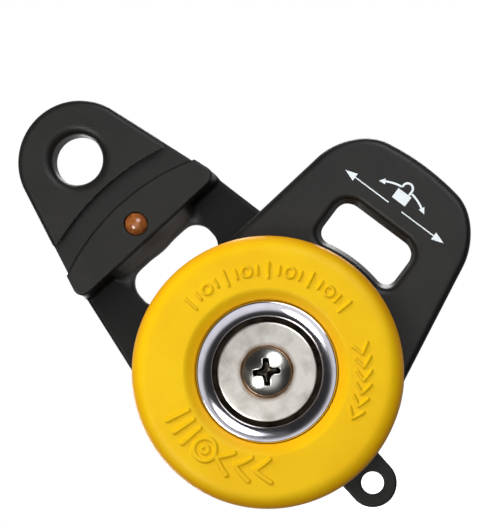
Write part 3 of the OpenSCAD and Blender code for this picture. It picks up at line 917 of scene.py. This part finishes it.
tread_r, groove_r = 16.0, 6.2
groove_angle = math.degrees(math.acos((tread_r + groove_r - SHEAVE_R + 0.35) / groove_r))
flank = arc((tread_r + groove_r, 0), groove_r, 180 - groove_angle, 180 + groove_angle, 32)
sheave_profile = (
    [(12.6, SHEAVE_HALF - 0.2), (12.8, SHEAVE_HALF), (SHEAVE_R - 0.4, SHEAVE_HALF)]
    + [(SHEAVE_R, SHEAVE_HALF - 0.4)] + flank + [(SHEAVE_R, -SHEAVE_HALF + 0.4)]
    + [(SHEAVE_R - 0.4, -SHEAVE_HALF), (12.8, -SHEAVE_HALF), (12.6, -SHEAVE_HALF + 0.2)])
points, faces = turned(outward(sheave_profile), 256)
place(mesh_piece("grooved_sheave", points, faces, sharp=35), "sheave", anodised, "anodised", "sheave")

head_low = (-SCREW_R - 0.3, -SCREW_TOP - 0.3, -SCREW_R - 0.3)
head_high = (SCREW_R + 0.3, screw_high[1] + 0.3, SCREW_R + 0.3)
points, faces, normals = moulded(screw_field, head_low, head_high, SCREW_STEP)
place(mesh_piece("front_cross_screw", points, faces, normals),
      "frame", screw_steel, "screw_steel", "front_screw")
rear_points, rear_faces = mirrored(points, faces)
place(mesh_piece("rear_cross_screw", rear_points, rear_faces, normals * [1, -1, 1]),
      "frame", screw_steel, "screw_steel", "rear_screw")


# --- Detent ---------------------------------------------------------------------------------

def ball_mesh(name, centre, radius, count=48):
    """A ball without poles: a cube's faces blown up to a sphere."""
    side = np.linspace(-1, 1, count + 1)
    tan = np.tan(side * math.pi / 4)
    points, faces = [], []
    for axis, sign in itertools.product(range(3), (-1, 1)):
        a, b = np.meshgrid(tan, tan, indexing="ij")
        face_points = np.roll(np.stack([np.full_like(a, sign), a, b], -1), axis, -1).reshape(-1, 3)
        start = sum(len(p) for p in points)
        i, j = np.meshgrid(np.arange(count), np.arange(count), indexing="ij")
        k = start + i * (count + 1) + j
        quad = np.stack([k, k + count + 1, k + count + 2, k + 1], -1).reshape(-1, 4)
        points.append(face_points)
        faces.append(quad if sign > 0 else quad[:, ::-1])
    points = np.concatenate(points)
    points /= np.linalg.norm(points, axis=1, keepdims=True)
    points, index = np.unique(np.round(points, 9), axis=0, return_inverse=True)
    faces = index.reshape(-1)[np.concatenate(faces)].tolist()
    return mesh_piece(name, points * radius + centre, faces, points)


place(ball_mesh("detent_ball_polished", DETENT, DETENT_R),
      "detent", ball_plastic, "ball_plastic", "detent_ball")


def spring_mesh(name, start, end, coil_r, wire_r, coils):
    """A round wire wound about the detent's axis, with closed end coils."""
    around, along = 14, 40 * coils
    t = np.linspace(0, 1, along + 1)
    turn = t * coils * 2 * math.pi
    rise = start + wire_r + (end - start - 2 * wire_r) * smoothstep(0.06, 0.94, t)
    path = np.stack([coil_r * np.cos(turn), rise, coil_r * np.sin(turn)], 1)
    ahead = np.gradient(path, axis=0)
    ahead /= np.linalg.norm(ahead, axis=1, keepdims=True)
    out = np.stack([np.cos(turn), 0 * turn, np.sin(turn)], 1)
    side = np.cross(ahead, out)
    a = np.linspace(0, 2 * math.pi, around, endpoint=False)
    round_wire = np.cos(a)[:, None] * out[:, None] + np.sin(a)[:, None] * side[:, None]
    rings = path[:, None] + wire_r * round_wire
    points = rings.reshape(-1, 3) + [DETENT[0], 0, DETENT[2]]
    i, j = np.meshgrid(np.arange(along), np.arange(around), indexing="ij")
    j2 = (j + 1) % around
    here, there = i * around, (i + 1) * around
    quads = np.stack([here + j, there + j, there + j2, here + j2], -1).reshape(-1, 4)
    caps = [list(range(around)), [along * around + k for k in reversed(range(around))]]
    return mesh_piece(name, points, quads.tolist() + caps)


spring_low, spring_high = box_mm("detent_spring")
wire_r = 0.25
spring = spring_mesh("detent_coil", spring_low[1], PLUG_Y, spring_high[0] - wire_r, wire_r, 5)
place(spring, "frame", spring_steel, "spring_steel", "detent_spring")
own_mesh(spring)


# --- Print on the front cheek ---------------------------------------------------------------

INK_T = 0.03


def print_mesh(name, outlines):
    """Flat shapes of ink on the front cheek. Each outline is a list of (x, z) when shut."""
    points, faces = [], []
    for outline in outlines:
        n, start = len(outline), len(points)
        points += [(x, -CHEEK_OUT - INK_T, z) for x, z in outline]
        points += [(x, -CHEEK_OUT + INK_T, z) for x, z in outline]
        faces.append([start + k for k in range(n)])
        faces.append([start + n + k for k in reversed(range(n))])
        for k in range(n):
            ahead = (k + 1) % n
            faces.append([start + ahead, start + k, start + n + k, start + n + ahead])
    return mesh_piece(name, turn_about_axle(points, OPEN_ANGLE), faces, smooth=False)


def arrow(tail_x, tip_x, z):
    """An arrow along x: a thin shaft and a solid head."""
    way = 1 if tip_x > tail_x else -1
    neck = tip_x - way * 2.5
    head = [(neck, z - 0.85), (tip_x, z), (neck, z + 0.85)]
    shaft_end, half = neck + 0.02 * way, 0.12
    shaft = [(tail_x, z - half), (shaft_end, z - half), (shaft_end, z + half), (tail_x, z + half)]
    return [shape if way > 0 else shape[::-1] for shape in (head, shaft)]


def strip(path, half):
    """A band of even width along a path, as one quad after another."""
    p = np.array(path, float)
    d = np.gradient(p, axis=0)
    d /= np.linalg.norm(d, axis=1, keepdims=True)
    n = np.stack([-d[:, 1], d[:, 0]], 1) * half
    left, right = [[tuple(q) for q in side] for side in (p + n, p - n)]
    return [[right[k], right[k + 1], left[k + 1], left[k]] for k in range(len(p) - 1)]


def padlock(x, z):
    """An open padlock: a square body and a shackle that has sprung up on one side."""
    body = [(x - 1.6, z - 1.5), (x + 1.6, z - 1.5), (x + 1.6, z + 0.7), (x - 1.6, z + 0.7)]
    hoop = arc((x - 0.1, z + 1.7), 1.05, 0, 180, 12)
    shackle = [(x + 0.95, z + 0.75)] + hoop + [(x - 1.15, z + 1.3)]
    return [body] + strip(shackle, 0.22)


def swing_arc(x, z, radius, way):
    """A short curved arrow beside the padlock: the way in which the cheek swings."""
    path = arc((x, z - radius), radius, 90 - way * 8, 90 - way * 30, 8)
    end = math.radians(90 - way * 30)
    reach = 0.9
    tip = (x + radius * math.cos(end) + way * reach * math.sin(end),
           z - radius + radius * math.sin(end) - reach * abs(math.cos(end)))
    base = np.array(path[-1])
    aim = np.array(tip) - base
    aim /= np.linalg.norm(aim)
    across = np.array([-aim[1], aim[0]]) * 0.6
    head = [tuple(base - across), tuple(base + aim * 1.3), tuple(base + across)]
    return strip(path, 0.2) + [head]


shapes = arrow(-1.3, -12.1, 41.45) + arrow(1.9, 12.4, 41.45) + padlock(0.2, 44.2)
shapes += swing_arc(0.2, 45.6, 9.0, -1) + swing_arc(0.2, 45.6, 9.0, 1)
marks = print_mesh("swing_marks", shapes)
place(marks, "swing_cheek", ink, None)


# --- CAD nodes that stay --------------------------------------------------------------------

kept = {
    "hub_sleeve": hub_steel, "axle_stud": hub_steel, "front_bush": bronze, "rear_bush": bronze,
    "front_thrust_washer": slip_plastic, "rear_thrust_washer": slip_plastic,
    "front_balls": ball_plastic, "rear_balls": ball_plastic,
    "front_cage": cage_plastic, "rear_cage": cage_plastic, "detent_plug": plug_steel,
}
for node, material in kept.items():
    mesh = frame["nodes"][node].data
    mesh.materials.clear()
    mesh.materials.append(material)


# --- Stage, light and camera ----------------------------------------------------------------

FLOOR_HALF = 3.0
bpy.ops.mesh.primitive_plane_add(size=2 * FLOOR_HALF, location=(0, 0, cad_low.z))
floor = bpy.context.object
floor.name = "floor"
pale = bpy.data.materials.new("pale_floor")
pale.use_nodes = True
pale_shader = pale.node_tree.nodes["Principled BSDF"]
pale_shader.inputs["Base Color"].default_value = (0.85, 0.85, 0.85, 1)
pale_shader.inputs["Roughness"].default_value = 0.9
pale_shader.inputs["Emission Color"].default_value = (1, 1, 1, 1)
pale_shader.inputs["Emission Strength"].default_value = 1.0
floor.data.materials.append(pale)
floor.visible_diffuse = False
floor.visible_glossy = False


def softbox(name, place_mm, size_mm, watts, colour, aim_mm=(8, 0, 15)):
    """A round studio light that looks at the block."""
    data = bpy.data.lights.new(name, "AREA")
    data.shape = "ELLIPSE"
    data.size, data.size_y = size_mm[0] * MM, size_mm[1] * MM
    data.energy = watts
    data.color = colour
    light = linked(name, data)
    light.location = Vector(place_mm) * MM
    light.rotation_euler = (Vector(aim_mm) * MM - light.location).to_track_quat("-Z", "Y").to_euler()
    return light


softbox("key_small", (-330, -400, -20), (220, 220), 1.6, (1.0, 0.99, 0.97))
softbox("key_large", (330, -400, 130), (340, 340), 1.5, (0.97, 0.98, 1.0))
relief = softbox("relief", (-60, -230, 420), (120, 120), 1.4, (1.0, 1.0, 0.99))
relief.visible_glossy = False
softbox("back_key", (260, 420, 260), (320, 320), 2.0, (1.0, 0.99, 0.98))
softbox("back_fill", (-280, 400, 60), (280, 280), 1.0, (0.97, 0.98, 1.0))

BACKDROP_WAY = (0.17, 0.96, 0.22)           # from the block to the palest part of the backdrop
world = bpy.data.worlds.new("studio")
bpy.context.scene.world = world
world.use_nodes = True
tree = world.node_tree
tree.nodes.clear()
seen = tree.nodes.new("ShaderNodeBackground")
seen.inputs["Color"].default_value = (1, 1, 1, 1)
around = tree.nodes.new("ShaderNodeBackground")
direction = tree.nodes.new("ShaderNodeTexCoord")
facing = tree.nodes.new("ShaderNodeVectorMath")
facing.operation = "DOT_PRODUCT"
facing.inputs[1].default_value = BACKDROP_WAY
half_turn = tree.nodes.new("ShaderNodeMapRange")
half_turn.inputs["From Min"].default_value = -1
shades = tree.nodes.new("ShaderNodeValToRGB")
# from straight in front of the block (0), past its sides (0.5), to the backdrop (1)
RAMP = {0.0: 0.95, 0.05: 0.75, 0.11: 0.08, 0.2: 0.03, 0.62: 0.03, 0.8: 0.4, 0.92: 0.5, 1.0: 0.22}
stops = shades.color_ramp.elements
for position, shade in RAMP.items():
    if position in (0.0, 1.0):
        stop = stops[0 if position == 0.0 else -1]
    else:
        stop = stops.new(position)
    stop.color = (shade, shade, shade * 1.02, 1)
tree.links.new(direction.outputs["Generated"], facing.inputs[0])
tree.links.new(facing.outputs["Value"], half_turn.inputs["Value"])
tree.links.new(half_turn.outputs[0], shades.inputs["Fac"])
tree.links.new(shades.outputs["Color"], around.inputs["Color"])
path = tree.nodes.new("ShaderNodeLightPath")
chosen = tree.nodes.new("ShaderNodeMixShader")
output = tree.nodes.new("ShaderNodeOutputWorld")
tree.links.new(path.outputs["Is Camera Ray"], chosen.inputs["Fac"])
tree.links.new(around.outputs[0], chosen.inputs[1])
tree.links.new(seen.outputs[0], chosen.inputs[2])
tree.links.new(chosen.outputs[0], output.inputs["Surface"])

CAMERA_MM = Vector((18.4, -469.2, -21.2))
TARGET_MM = Vector((12.0, 0.0, 19.6))
UP = Vector((0.67488, -0.0547, 0.7359))
LENS, SENSOR = 158.1, 36
camera_data = bpy.data.cameras.new("camera")
camera_data.lens = LENS
camera_data.sensor_width = SENSOR
camera_data.clip_start, camera_data.clip_end = 0.02, 20
camera = linked("camera", camera_data)
ahead = (TARGET_MM - CAMERA_MM).normalized()
right = ahead.cross(UP).normalized()
up = right.cross(ahead)
camera.matrix_world = Matrix((
    (right.x, up.x, -ahead.x, CAMERA_MM.x * MM),
    (right.y, up.y, -ahead.y, CAMERA_MM.y * MM),
    (right.z, up.z, -ahead.z, CAMERA_MM.z * MM),
    (0, 0, 0, 1)))
bpy.context.scene.camera = camera
bpy.context.scene.view_settings.view_transform = "Standard"
